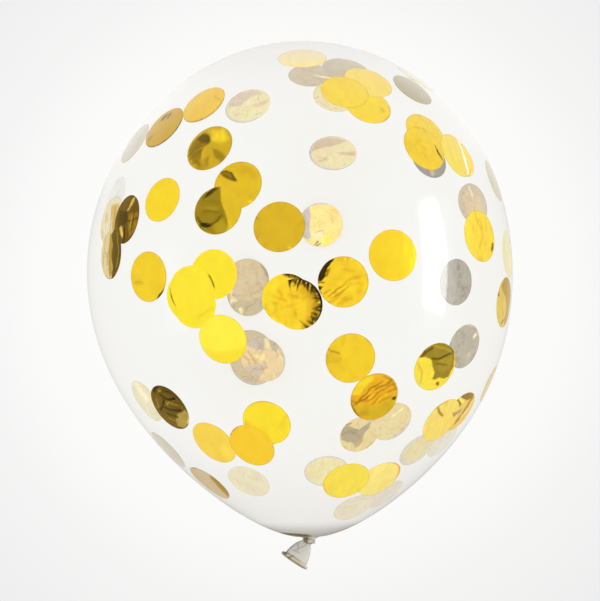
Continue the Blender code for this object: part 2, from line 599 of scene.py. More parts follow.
def tail_profile():
    """Radius and distance from the knot: out along the bell, round the lip, back down the mouth."""
    outside = []
    for ring in range(TAIL_RINGS):
        reach = TAIL_LENGTH * ring / TAIL_RINGS
        outside.append((bell_radius(reach), reach))
    lip = []
    for side in range(LIP_SIDES + 1):
        turn = LIP_START + LIP_SWEEP * side / LIP_SIDES
        radius = bell_radius(TAIL_LENGTH) + LIP_ROLL_RADIUS * (0.5 + math.cos(turn))
        lip.append((radius, TAIL_LENGTH + LIP_ROLL_RADIUS * math.sin(turn)))
    inside = []
    for ring in range(2, TAIL_RINGS):
        reach = TAIL_LENGTH - TAIL_MOUTH_DEPTH * ring / TAIL_RINGS
        inside.append((bell_radius(reach) - TAIL_WALL, reach))
    mouth_end = [(0.0, TAIL_LENGTH - TAIL_MOUTH_DEPTH)]
    return [(0.0, 0.0)] + outside + lip + inside + mouth_end


def make_tail(material):
    """The bell points along +Y when turned; it is flattened, leaned and hung from the knot."""
    build = spun(tail_profile(), TAIL_SIDES)
    for point in build.verts:
        about = math.atan2(point.co.z, point.co.x)
        reach = point.co.y / TAIL_LENGTH
        deep = (TAIL_FOLD + TAIL_ROOT_FOLD * (1.0 - reach)) * min(1.0, reach * 3.0)
        fold = 1.0 + deep * math.sin(3.0 * about + 0.6)
        point.co.x *= fold
        point.co.z *= fold * TAIL_FLATNESS
    spots = np.array([(point.co.x / bell_radius(point.co.y), point.co.y) for point in build.verts])
    root = knot_place() - Vector((TAIL_ROOT_SHIFT, 0.0, 0.0))
    turn = Matrix.Rotation(math.pi - TAIL_LEAN, 4, "Z") @ Matrix.Rotation(TAIL_RISE, 4, "X")
    place = Matrix.Translation(root) @ turn
    bmesh.ops.transform(build, matrix=place, verts=build.verts)
    piece = piece_from(build, "tail", material)
    along = 2.0 * spots[:, 1] / TAIL_LENGTH - 1.0
    return paint(piece, (0.84, 0.0, 0.0), TAIL_MARKS, -spots[:, 0], along)


# ---------------------------------------------------------------- confetti


def wobble(u, v, seed):
    """A smooth field of folds over a disc, from -1 to 1."""
    rng = random.Random(seed)
    total = np.zeros_like(u)
    for wave in range(5):
        lean = rng.uniform(0.0, math.pi)
        pitch = rng.uniform(1.5, 5.0)
        total += math.sin(rng.uniform(0, 6)) * np.sin(
            pitch * (u * math.cos(lean) + v * math.sin(lean)) + rng.uniform(0.0, 6.28)
        )
    return total / 3.0


class Mark:
    """Painted light on part of a face: a darker or brighter tone painted where a crease would turn a
    circle's shown face from the light or towards it, and painted shade and highlights on the knot and tail.

    Its points are in hundredths of the circle's half width, right and up from its middle. Other
    sizes are in half widths; soft is the width of the mark's rim.
    """

    def __init__(self, level, gold=None, warm=0.0, soft=0.06):
        self.level = level
        self.gold = gold
        self.warm = warm
        self.soft = soft

    def filled(self, inside):
        """1 where the distance inside the mark is past its soft rim, 0 outside it."""
        return np.clip(inside / self.soft + 0.5, 0.0, 1.0)


class Line(Mark):
    """A fine painted crease line through a few points: painted shade where it is darker, a painted glint
    where it is brighter.
    """

    def __init__(self, level, *points, width=0.03, soft=0.03, **look):
        super().__init__(level, soft=soft, **look)
        self.points = [(right / 100, up / 100) for right, up in points]
        self.width = width

    def distance(self, u, v):
        """How far each place is from the nearest stretch between two points."""
        nearest = np.full_like(u, 9.0)
        for (x, y), (next_x, next_y) in zip(self.points, self.points[1:]):
            run_x, run_y = next_x - x, next_y - y
            share = ((u - x) * run_x + (v - y) * run_y) / (run_x**2 + run_y**2)
            share = np.clip(share, 0.0, 1.0)
            nearest = np.minimum(nearest, np.hypot(u - x - share * run_x, v - y - share * run_y))
        return nearest

    def cover(self, u, v):
        return self.filled(self.width - self.distance(u, v))


class Patch(Line):
    """A patch with a rim that runs from corner to corner."""

    def __init__(self, level, *corners, soft=0.06, **look):
        super().__init__(level, *corners, corners[0], soft=soft, **look)

    def cover(self, u, v):
        inside = np.zeros(u.shape, dtype=bool)
        for (x, y), (next_x, next_y) in zip(self.points, self.points[1:]):
            if y != next_y:
                across = x + (v - y) * (next_x - x) / (next_y - y)
                inside ^= ((y > v) != (next_y > v)) & (u < across)
        return self.filled(np.where(inside, 1.0, -1.0) * self.distance(u, v))


class Rim(Mark):
    """A band along the edge from one direction to another in degrees, deepest in its middle."""

    def __init__(self, level, start, end, depth, soft=0.04, **look):
        super().__init__(level, soft=soft, **look)
        self.start = start
        self.sweep = end - start
        self.depth = depth

    def cover(self, u, v):
        about = (np.degrees(np.arctan2(v, u)) - self.start) % 360.0 / self.sweep
        swell = 1.0 if self.sweep == 360 else np.sqrt(np.sin(math.pi * np.minimum(about, 1.0)).clip(0.0))
        return self.filled(np.hypot(u, v) - 1.0 + self.depth * swell) * np.minimum(4.0 * swell, 1.0)


class Rays(Mark):
    """Pointed painted creases that run in from the rim, spread between two directions in degrees."""

    def __init__(self, level, count, inner, start=0, end=360, width=0.05, soft=0.03, **look):
        super().__init__(level, soft=soft, **look)
        self.count = count
        self.inner = inner
        self.start = math.radians(start)
        self.end = math.radians(end)
        self.width = width

    def cover(self, u, v):
        rng = random.Random(self.count)
        total = np.zeros_like(u)
        for ray in range(self.count):
            share = (ray + rng.uniform(0.1, 0.9)) / self.count
            about = self.start + (self.end - self.start) * share
            lean = about + rng.uniform(-0.5, 0.5)
            reach = (1.0 - self.inner) * rng.uniform(0.4, 1.0)
            width = self.width * rng.uniform(0.5, 1.3)
            from_rim_u, from_rim_v = math.cos(about) - u, math.sin(about) - v
            inward = (from_rim_u * math.cos(lean) + from_rim_v * math.sin(lean)) / reach
            across = np.abs(from_rim_v * math.cos(lean) - from_rim_u * math.sin(lean))
            point = self.filled(width * (1.0 - inward) - across)
            total = np.maximum(total, point * (inward < 1.0) * (inward > -0.3))
        return total


class Foil:
    """One circle of foil: where it clings, how it lies and the painted tone of its shown face.

    around: degrees round the body from the top towards +X; along: mm along +Y from the belly.
    wide, long: its half width round the body and its half length along it, in mm.
    layer: 0 lies against the skin, and each circle under another is one layer further in.
    creased: how much painted shade of fine crumpling its face has. edged: whether its cut edge shows
    painted dark shade.
    level: how bright its painted reflection is; marks: painted reflections, shade and glints on it.
    gold: from silver to gold; on a near circle, less gold paints a paler, greyer reflection.
    """

    def __init__(
        self,
        around,
        along,
        wide,
        long,
        level,
        *marks,
        gold=None,
        warm=0.0,
        layer=0,
        creased=0.3,
        edged=True,
    ):
        self.around = math.radians(around)
        self.along = along * MM
        self.wide = wide * MM
        self.long = long * MM
        self.far = abs(around) > 90.0
        self.level = level
        self.gold = gold if gold is not None else (0.4 if self.far else 1.0)
        self.warm = warm
        self.marks = marks
        self.layer = layer
        self.creased = creased
        self.edged = edged


# Points run right and along from the middle of the knot and of the tail, whose lip is at 100.
# Painted on the knot: shade in its folds and a highlight along its roll.
KNOT_MARKS = (
    Patch(0.42, (-120, 60), (-20, 60), (-10, -60), (-120, -60), gold=0.5),
    Line(0.24, (-80, 60), (-75, -60), width=0.05, gold=0.5),
    Line(0.26, (-35, 60), (-25, -60), width=0.06, gold=0.5),
    Line(0.66, (-55, 50), (-55, -10), gold=0.4),
    Line(0.92, (30, 10), (80, 5), width=0.08, soft=0.1),
    Line(0.5, (0, -45), (50, -50), (95, -30), width=0.05, gold=0.2),
)
# Painted on the tail: shade in its creases, along both sides and round the lip, over the lip's own olive
# colour.
TAIL_MARKS = (
    Patch(0.82, (10, -50), (90, -60), (90, 60), (0, 20), soft=0.2, gold=0.1, warm=-0.3),
    Line(0.6, (40, -90), (0, -55), (-50, 25), width=0.04, soft=0.1, gold=0.05),
    Line(0.55, (-40, -95), (-35, -60), width=0.04, gold=0.1),
    Line(0.58, (-80, -30), (-30, 10), width=0.04, soft=0.08),
    Line(0.6, (-70, 40), (-10, 30), width=0.04, soft=0.08),
    Line(0.6, (-100, -100), (-100, 80), width=0.08, soft=0.1),
    Line(0.62, (100, -100), (100, 80), width=0.08, soft=0.1),
    Patch(0.8, (-130, 84), (130, 84), (130, 130), (-130, 130), soft=0.04, gold=0.4, warm=-0.4),
    Line(0.5, (-120, 86), (30, 84), soft=0.04, gold=0.4),
    Line(0.4, (-120, 112), (120, 112), width=0.04, soft=0.05, gold=0.5, warm=-0.2),
    Patch(0.38, (-140, 80), (-80, 84), (-85, 130), (-140, 130), soft=0.1, gold=0.45),
    Line(0.3, (-40, 80), (-60, 120), width=0.04, gold=0.5),
)


def foil_disc():
    """The flat circle that every piece of confetti is shaped from: a closed thin plate."""
    build = bmesh.new()
    bmesh.ops.create_grid(build, x_segments=FOIL_CELLS, y_segments=FOIL_CELLS, size=1.0)
    for point in build.verts:
        x, y = point.co.x, point.co.y
        point.co.x = x * math.sqrt(1.0 - 0.5 * y * y)
        point.co.y = y * math.sqrt(1.0 - 0.5 * x * x)
    bmesh.ops.solidify(build, geom=build.faces[:], thickness=-1.0)
    bmesh.ops.recalc_face_normals(build, faces=build.faces)
    mesh = bpy.data.meshes.new("foil_disc")
    build.to_mesh(mesh)
    build.free()
    return mesh


def on_skin(across, up, out, foil):
    """Lay points of a disc on the inside of the skin.

    across runs right as the maker looks down on the balloon, up along the body and out away from
    its axis; all are distances from the disc's middle, and out is measured from the skin.
    """
    latitude = latitude_at(foil.along)
    ring_radius, ring_y = body_at(latitude)
    ahead_radius, ahead_y = body_at(latitude + LATITUDE_STEP)
    slope = math.atan2(ahead_radius - ring_radius, ahead_y - ring_y)
    turn = -1.0 if foil.far else 1.0
    radial = ring_radius + up * math.sin(slope)
    y = ring_y + up * math.cos(slope)
    side = across * turn
    rho = np.hypot(radial, side)
    about = foil.around + np.arctan2(side, radial)
    latitudes = np.full_like(rho, latitude)
    for _ in range(NEAREST_STEPS):
        radius, ys = body_at(latitudes)
        radius_2, ys_2 = body_at(latitudes + LATITUDE_STEP)
        d_radius, d_y = (radius_2 - radius) / LATITUDE_STEP, (ys_2 - ys) / LATITUDE_STEP
        miss = (rho - radius) * d_radius + (y - ys) * d_y
        latitudes = latitudes + miss / (d_radius**2 + d_y**2)
    radius, ys = body_at(latitudes)
    length = np.hypot(d_radius, d_y)
    normal_radial, normal_y = d_y / length, -d_radius / length
    rho = radius + normal_radial * out
    y = ys + normal_y * out
    x = rho * np.sin(about) + bow(y)
    z = rho * np.cos(about) + AXIS_HEIGHT
    return np.stack([x, y, z], axis=1)


def crumple(u, v, seed):
    """Sharp irregular fold lines over a disc, from 0 to 1 on a fold; they are only painted, as shade."""
    total = np.zeros_like(u)
    bent_u = u + 0.2 * wobble(2.5 * u, 2.5 * v, seed + 1)
    bent_v = v + 0.2 * wobble(2.5 * u, 2.5 * v, seed + 2)
    for octave, (pitch, width) in enumerate(CRUMPLE_OCTAVES):
        fold = 1.0 - np.abs(wobble(pitch * bent_u, pitch * bent_v, seed + 3 + octave)) / width
        where = 0.3 + 1.5 * wobble(1.7 * u, 1.7 * v, seed + 13 + octave)
        total = np.maximum(total, np.clip(fold, 0.0, 1.0) * np.clip(where, 0.0, 1.0))
    return total


def with_painted_light(base, marks, u, v):
    """Level, gold and warmth at each point of a face with its painted light marks on it."""
    level, gold, warm = (np.full_like(u, value) for value in base)
    ripple_u = RIPPLE * (wobble(6.0 * u, 6.0 * v, 31) + 0.5 * wobble(11.0 * u, 11.0 * v, 33))
    ripple_v = RIPPLE * (wobble(6.0 * u, 6.0 * v, 57) + 0.5 * wobble(11.0 * u, 11.0 * v, 59))
    for mark in marks:
        cover = mark.cover(u + ripple_u, v + ripple_v)
        level += (mark.level - level) * cover
        gold += ((base[1] if mark.gold is None else mark.gold) - gold) * cover
        warm += (mark.warm - warm) * cover
    return level, gold, warm


def shown_tint_and_reflections(foil, u, v, seed):
    """The tone of the face that is looked at from above, at each point: painted reflections, with painted
    shade on its folds and along its cut edge.
    """
    level, gold, warm = with_painted_light((foil.level, foil.gold, foil.warm), foil.marks, u, v)
    # Painted shade: darker and warmer on the crumple's folds, and darker and warmer along the cut edge.
    folds = foil.creased * crumple(u, v, seed + 91)
    shade = foil.creased * wobble(4.0 * u, 4.0 * v, seed + 17)
    edge = foil.edged * (EDGE_SHADE_FAR if foil.far else EDGE_SHADE_NEAR) * (np.hypot(u, v) > EDGE_START)
    level = level * (1.0 - CRUMPLE_FOLD_SHADE * folds) * (1.0 - edge) + CRUMPLE_SHADE * shade
    return foil_tone(level, gold, warm + CRUMPLE_WARMTH * (folds + 0.5 * shade) + edge)


def hidden_tint_and_fold_shade(foil, u, v, seed):
    """The tone of the face that is turned away: brighter gold outside, paler inside, with painted shade in
    its folds.
    """
    gold = 1.0 if foil.far else 0.45
    fold = np.clip(0.5 + 3.0 * (wobble(2.2 * u, 2.2 * v, seed + 83) - 0.45), 0.0, 1.0)
    fine = crumple(u, v, seed + 91)
    return foil_tone(HIDDEN_LEVEL - HIDDEN_FOLD_SHADE * fold - HIDDEN_CRUMPLE_SHADE * fine, gold)


def copies(name, master, count):
    """A mesh that holds the master count times."""
    build = bmesh.new()
    for _ in range(count):
        build.from_mesh(master)
    mesh = bpy.data.meshes.new(name)
    build.to_mesh(mesh)
    build.free()
    return mesh


def face_outward(mesh):
    """Turn the normals out, after the mesh's points have moved."""
    build = bmesh.new()
    build.from_mesh(mesh)
    bmesh.ops.recalc_face_normals(build, faces=build.faces)
    build.to_mesh(mesh)
    build.free()


def laid(foil, u, v, sheet, seed):
    """Place, tone and noise place of each point of a circle; sheet is 1 on its outer face, else 0."""
    waves = FOIL_WAVE * wobble(1.6 * u, 1.6 * v, seed + 7)
    depth = FOIL_CLEARANCE + foil.layer * FOIL_LAYER + FOIL_THICKNESS * (1.0 - sheet)
    places = on_skin(u * foil.wide, v * foil.long, -depth - waves, foil)
    seen = (sheet > 0.5) != foil.far
    tones = np.where(seen[:, None], shown_tint_and_reflections(foil, u, v, seed), hidden_tint_and_fold_shade(foil, u, v, seed))
    return places, tones, np.stack([u, v, np.full_like(u, SEED_STEP * seed)], axis=1)


def make_confetti(name, foils, material, seed):
    """Lay a group of circles on the skin as one piece."""
    master = foil_disc()
    corners = np.empty(len(master.vertices) * 3)
    master.vertices.foreach_get("co", corners)
    u, v, w = corners.reshape(-1, 3).T
    sheet = (w - w.min()) / (w.max() - w.min())
    mesh = copies(name, master, len(foils))
    bpy.data.meshes.remove(master)
    rows = [laid(foil, u, v, sheet, seed * 100 + number) for number, foil in enumerate(foils)]
    places, tones, noise_places = (np.concatenate(part) for part in zip(*rows))
    mesh.vertices.foreach_set("co", places.ravel())
    tint_points(mesh, "foil_tint", tones)
    noise_place = mesh.attributes.new("foil_place", "FLOAT_VECTOR", "POINT")
    noise_place.data.foreach_set("vector", noise_places.ravel())
    mesh.update()
    face_outward(mesh)
    mesh.shade_smooth()
    mesh.set_sharp_from_angle(angle=math.radians(50))
    piece = piece_of(mesh, material)
    piece.visible_glossy = False
    return piece


def foil_material(settings, name, glance):
    """Metallised film: its tone at each place with its painted reflections, and fine creases that are bumps
    and are also painted into its colour as sheen; glance is its edge-on colour.
    """
    material, graph = new_material(name)
    tint = graph.node("Attribute", {"attribute_name": "foil_tint"}, output="Color")
    place = graph.node("Attribute", {"attribute_name": "foil_place"}, output="Vector")
    stretch = {0: place, 1: STREAK_STRETCH}
    stretched = graph.node("VectorMath", {"operation": "MULTIPLY"}, stretch, output="Vector")
    streak = graph.node("TexNoise", sockets={"Vector": stretched, **STREAKS})
    fine = graph.node("TexNoise", sockets={"Vector": place, **FINE_GRAIN})
    # The streaks vary the colour: random tone, and painted sheen that follows the bump's height.
    level = GRAIN_LEVEL + STREAK_SHADE * streak + (fine - 0.5) * FINE_SHADE
    shade = graph.node("CombineXYZ", sockets=dict.fromkeys(range(3), level))
    base = graph.colour_mix(1.0, tint, shade, "MULTIPLY")
    height = streak + FINE_DEPTH * fine
    relief = {"Height": height, "Strength": BUMP_STRENGTH, "Distance": settings.crinkle}
    bump = graph.node("Bump", sockets=relief)
    looks = {
        "Base Color": base,
        "Metallic": 1.0,
        "Specular Tint": opaque(glance),
        "Roughness": settings.roughness,
        "Normal": bump,
    }
    graph.finish(graph.node("BsdfPrincipled", sockets=looks))
    return material


# ---------------------------------------------------------------- circles

# Each circle's level and marks paint its reflections into its colour: darker where a crease would mirror
# something dark, brighter where it would glint, paler where the skin's own reflection lies over it.
# Near the crown, looked at from above.
CROWN_FOILS = (
    Foil(-36, 110.5, 16, 17, 0.93,
         Rim(0.8, 230, 375, 0.1, warm=0.5),
         Line(0.7, (30, -80), (40, -95), warm=0.4),
         Line(0.84, (35, 40), (100, 5), warm=0.3),
         Line(0.9, (-30, 70), (-50, -30), soft=0.1, gold=1.0),
         gold=0.93, warm=0.4, creased=0.4),
    Foil(-50, 97, 17.3, 17, 0.76,
         Patch(0.6, (-70, -50), (-45, -25), (-45, -45), (-50, -75), soft=0.08, warm=0.2),
         Patch(0.32, (-50, 40), (-50, 60), (-35, 75), (-20, 70), (-30, 50), (-30, 35), soft=0.04, warm=0.3),
         Patch(0.36, (-15, 45), (-15, 65), (-10, 80), (0, 75), (0, 55), (-5, 40), soft=0.04, warm=0.3),
         Line(0.7, (5, -100), (40, -85), (65, -55), warm=0.2),
         Rim(0.5, 240, 385, 0.08, warm=0.4),
         warm=0.22, creased=0.5),
    Foil(-27, 77.5, 16.7, 17.3, 0.77,
         Patch(0.52, (-55, 65), (-40, 75), (-15, 55), (0, 30), (-10, 15), (-30, 0), (-25, -40), (-35, -75),
               (-60, -60), (-80, -35), (-95, -5), (-90, 25), (-75, 50)),
         Patch(0.34, (-50, 70), (-15, 55), (0, 35), (-15, 20), (-40, 25), (-70, 45), soft=0.05),
         Line(0.28, (-90, -30), (-70, 0), (-40, 10), width=0.025),
         Line(0.28, (-85, -5), (-65, 15), (-40, 20), width=0.025),
         Line(0.3, (-80, -50), (-60, -20), (-30, -5), width=0.025),
         Line(0.68, (-90, -15), (-70, 10), (-40, 15), width=0.02),
         Line(0.68, (-80, -40), (-60, -10), (-30, 0), width=0.02),
         Patch(0.66, (-60, -65), (-40, -45), (-15, -60), (5, -95), (-15, -100), (-40, -90), soft=0.15),
         Line(0.4, (-60, -65), (-45, -55), (-25, -75)),
         Patch(0.58, (20, -10), (40, -10), (60, -25), (85, -50), (105, -70), (90, -85), (65, -65),
               (40, -45)),
         Patch(0.62, (-10, -50), (10, -40), (15, -90), (0, -80), soft=0.08),
         Patch(0.96, (-10, 80), (40, 85), (80, 35), (55, 20), (5, 30), soft=0.25),
         warm=0.03, creased=0.5),
    Foil(17, 115, 16.7, 16.5, 0.99, gold=0.93, warm=0.3, creased=0.2),
    Foil(29, 123.5, 17.3, 17.3, 1.0, gold=0.82, warm=0.18, layer=1, creased=0.2),
    Foil(24, 105, 16.5, 16.6, 0.99,
         Patch(0.94, (50, -15), (65, -10), (70, -40), (50, -35), soft=0.15, warm=0.6),
         Line(0.82, (55, -15), (60, -35), width=0.02, warm=0.5),
         Rim(0.9, 290, 362, 0.06, warm=0.6),
         gold=0.95, warm=0.25, layer=2, creased=0.2),
    Foil(2, 143, 17, 15.7, 1.02,
         Patch(1.05, (-110, -20), (-50, -40), (10, -50), (75, -30), (110, -15), (110, -120), (-110, -120),
               soft=0.4, gold=0.65),
         gold=0.35, creased=0.2),
    Foil(42.5, 86, 17, 16.6, 0.97,
         Line(0.98, (-95, 40), (-70, 30), (-40, 35), width=0.04, warm=0.6),
         Line(1.0, (-10, 70), (0, 50), (30, 45), warm=0.5),
         gold=0.95, warm=0.18, layer=1, creased=0.4),
    Foil(39.5, 75, 17.2, 17, 0.96,
         Patch(0.96, (-95, 35), (-65, 25), (20, -25), (-15, -55), (-95, -30), soft=0.2, warm=0.3),
         Line(0.94, (-90, 25), (-55, 10), (-30, 20), (5, -5), warm=0.5),
         Line(0.94, (-85, -10), (-50, -20), (-40, -40), warm=0.4),
         Line(0.95, (0, 85), (-25, 45), warm=0.4),
         Patch(0.0, (60, 20), (68, -15), (82, -55), (68, -35), (58, -10), soft=0.03),
         gold=0.97, warm=0.29, creased=0.5),
    Foil(53, 72, 15.5, 16.8, 0.99,
         Line(1.06, (-20, 60), (-20, -45), gold=0.9),
         Patch(1.08, (70, 100), (120, 40), (110, -60), (40, -100), (55, 0), gold=0.95, warm=0.2),
         # A painted highlight: the bright streak of the skin's reflection, drawn across this circle.
         Line(1.2, (70, 100), (55, 0), (40, -100), width=0.08, gold=0.0),
         Rim(0.98, 270, 340, 0.05, warm=0.5),
         gold=0.87, warm=0.01, creased=0.2),
    Foil(55, 71, 15, 15, 1.0,
         # The same painted highlight streak across the circle under it.
         Line(1.08, (-44, 90), (44, -90), width=0.1, soft=0.1, gold=0.6),
         gold=0.84, warm=0.05, layer=1, creased=0.2),
)

# Near side, left of the middle.
LEFT_FOILS = (
    Foil(-39.5, 44, 15.3, 15.4, 0.98, warm=0.28, creased=0.15),
    Foil(-16.5, 50, 16.7, 17, 0.86,
         Patch(0.42, (-80, 60), (-55, 65), (-30, 50), (-5, 15), (-30, 20), (-55, 35), (-70, 45), soft=0.04),
         Line(0.24, (-75, 60), (-55, 65), (-30, 50), (-10, 20), width=0.02, warm=0.2),
         Line(0.66, (-65, 55), (-45, 50), (-30, 35), width=0.02),
         Line(0.76, (-70, -5), (-60, -50), (-50, -100), width=0.02, warm=0.2),
         Line(0.76, (10, 80), (45, 65), (80, 30), width=0.02, warm=0.6),
         Line(0.78, (0, 65), (40, 55), (80, 10), width=0.02, warm=0.4),
         Line(0.98, (50, -70), (65, -75), width=0.04),
         warm=0.12, layer=1, creased=0.6),
    Foil(-21.5, 33.5, 17, 16.5, 0.86,
         Patch(0.54, (-50, 85), (-20, 100), (-5, 115), (5, 90), (15, 30), (35, -10), (50, -60), (35, -95),
               (-10, -100), (-60, -80), (-100, -30), (-95, 40), (-75, 70), soft=0.04, warm=-0.3),
         Patch(0.24, (-50, 80), (-20, 95), (-5, 90), (-25, 75), (-45, 60), (-65, 55), soft=0.04),
         Line(0.66, (-75, 10), (-45, 15), (0, 5), width=0.02, warm=-0.3),
         Line(0.4, (-65, -5), (-35, 0), (10, -10), width=0.02),
         Line(0.4, (-45, 40), (-20, 40), (5, 30), width=0.02),
         Patch(0.14, (-75, -45), (-40, -50), (-15, -60), (-35, -70), (-60, -65), soft=0.03, warm=0.5),
         Line(0.24, (-30, -65), (0, -45), (20, -20), width=0.025, warm=0.3),
         Patch(0.64, (-15, -70), (20, -35), (50, -70), (35, -95), (0, -95), soft=0.1, warm=-0.4),
         Line(0.34, (-85, -20), (-70, -45), (-70, -70)),
         creased=0.5),
    Foil(-53, 33.5, 14.6, 17, 0.35,
         Patch(0.78, (5, 45), (20, 85), (45, 90), (40, 70), (15, 35), (-15, 35), soft=0.04, gold=0.8),
         Patch(0.2, (-75, 40), (0, 35), (15, 5), (5, -25), (-45, -20), soft=0.1),
         Patch(0.52, (20, 20), (90, 25), (100, -15), (80, -55), (45, -80), (25, -25), soft=0.12, warm=0.4),
         Line(0.22, (-50, 5), (30, -10), (95, 0)),
         Line(0.22, (55, 30), (60, -5), (55, -50), width=0.035),
         Line(0.64, (45, 10), (45, -40)),
         Patch(0.86, (-50, -30), (-25, -25), (-5, -60), (-10, -80), (-30, -60), soft=0.04, gold=0.8),
         Line(0.08, (-5, -35), (5, -70), (-5, -100), width=0.05),
         Line(0.14, (-65, 40), (-70, 5), (-55, -30), width=0.05),
         warm=0.54, creased=0.8),
    Foil(-62, 35, 16.8, 17, 0.92,
         Patch(0.82, (-20, 65), (50, 65), (85, 20), (85, -45), (70, -95), (40, -95), (25, -25), soft=0.1,
               gold=0.65, warm=0.1),
         Line(0.64, (-10, 55), (10, -25), (15, -85), gold=0.7),
         Line(0.62, (25, 55), (40, -10), (45, -70), gold=0.8),
         Patch(0.8, (-70, 30), (-45, 35), (-25, 0), (-50, -10), soft=0.1, gold=0.1),
         Patch(0.84, (-95, -25), (-65, -35), (-40, -75), (-65, -70), soft=0.08, gold=0.1),
         Line(0.88, (-45, 40), (-35, -30), (-20, -85), gold=0.3),
         gold=0.18, warm=-0.25, layer=1, creased=0.5),
    Foil(-59.5, 11, 15, 17.3, 0.86,
         Patch(0.64, (-15, 85), (25, 70), (25, 25), (15, -20), (20, -80), (-10, -90), (-20, 10), gold=0.9,
               warm=0.1),
         Patch(0.28, (15, 105), (95, 75), (110, 5), (90, -50), (45, -90), (10, -100), (25, -55), (10, -5),
               (25, 30), (0, 75), soft=0.05, gold=1.0, warm=0.2),
         Line(0.56, (50, 85), (80, 5), (60, -55), width=0.04, gold=1.0),
         Line(0.72, (-60, 85), (-70, 15), (-75, -50), gold=0.6),
         Line(0.6, (-30, 0), (-30, -40), width=0.04, gold=0.5),
         Line(0.78, (-95, 70), (-100, 10), gold=0.3),
         gold=0.43, warm=-0.21, creased=0.6),
    Foil(-43, -7.5, 17.2, 17, 0.94,
         Line(0.76, (-80, -20), (-50, -15), (-25, -25), warm=0.3),
         Line(0.84, (-65, -30), (-40, -30)),
         Rim(0.2, 293, 328, 0.07, warm=0.3),
         warm=0.22),
    Foil(-29, -19, 17.5, 16.7, 1.01,
         Rim(0.3, 170, 215, 0.05, warm=0.4),
         Rim(0.4, 0, 38, 0.035),
         warm=-0.08, creased=0.1, edged=False),
    Foil(-30.5, -23, 17.3, 16.8, 1.01, warm=-0.08, layer=3, creased=0.15, edged=False),
    Foil(-29, -27.5, 17, 16.8, 1.0,
         Line(0.94, (10, -55), (45, -40), (85, -25), warm=0.3),
         warm=-0.11, layer=1, creased=0.15, edged=False),
    Foil(-22.5, -9, 16.7, 16.7, 1.0, warm=-0.05, layer=2, creased=0.15, edged=False),
    Foil(-22, -52, 17, 16.8, 1.04,
         Patch(0.99, (-95, -30), (-50, -50), (60, -45), (95, -30), (60, -85), (0, -105), (-65, -90),
               soft=0.15),
         gold=0.99, warm=-0.25, creased=0.1),
    Foil(-5, 20.5, 17.2, 17, 0.83,
         Rays(0.77, 13, 0.3, soft=0.06),
         Line(0.9, (80, 65), (95, 55), gold=0.7),
         Line(0.95, (35, -80), (45, -90)),
         Line(0.6, (-90, 40), (-85, 35), warm=0.3),
         warm=0.15),
    Foil(-3.5, -27.5, 16.8, 17, 1.0,
         Rim(0.5, 15, 100, 0.16, soft=0.12),
         Rays(0.16, 11, 0.8, start=15, end=95),
         warm=0.2, layer=1, creased=0.9, edged=False),
    Foil(-1, -31, 16.7, 17, 0.98,
         Line(0.8, (-75, 60), (-55, 35), width=0.025, warm=0.8),
         Line(0.82, (-70, 25), (-40, 15), width=0.025, warm=0.8),
         Line(0.84, (-30, 40), (5, 30), warm=0.8),
         Line(0.84, (-40, -5), (-15, 0), width=0.025, warm=0.7),
         Line(0.86, (-95, 10), (-75, 5), width=0.025, warm=0.7),
         Line(0.86, (-10, -25), (-5, -55), width=0.025, warm=0.6),
         Patch(0.99, (-35, -35), (5, -50), (-5, -85), (-40, -75), soft=0.2, warm=0.2),
         Rim(0.78, -85, 108, 0.5, soft=0.35, warm=0.4),
         Rim(0.5, -75, 106, 0.26, soft=0.18, warm=0.3),
         Rays(0.1, 23, 0.5, start=-75, end=108, width=0.075),
         Rays(0.92, 13, 0.7, start=-65, end=95),
         Rim(0.1, -50, 95, 0.07),
         warm=0.42, creased=0.9, edged=False),
)

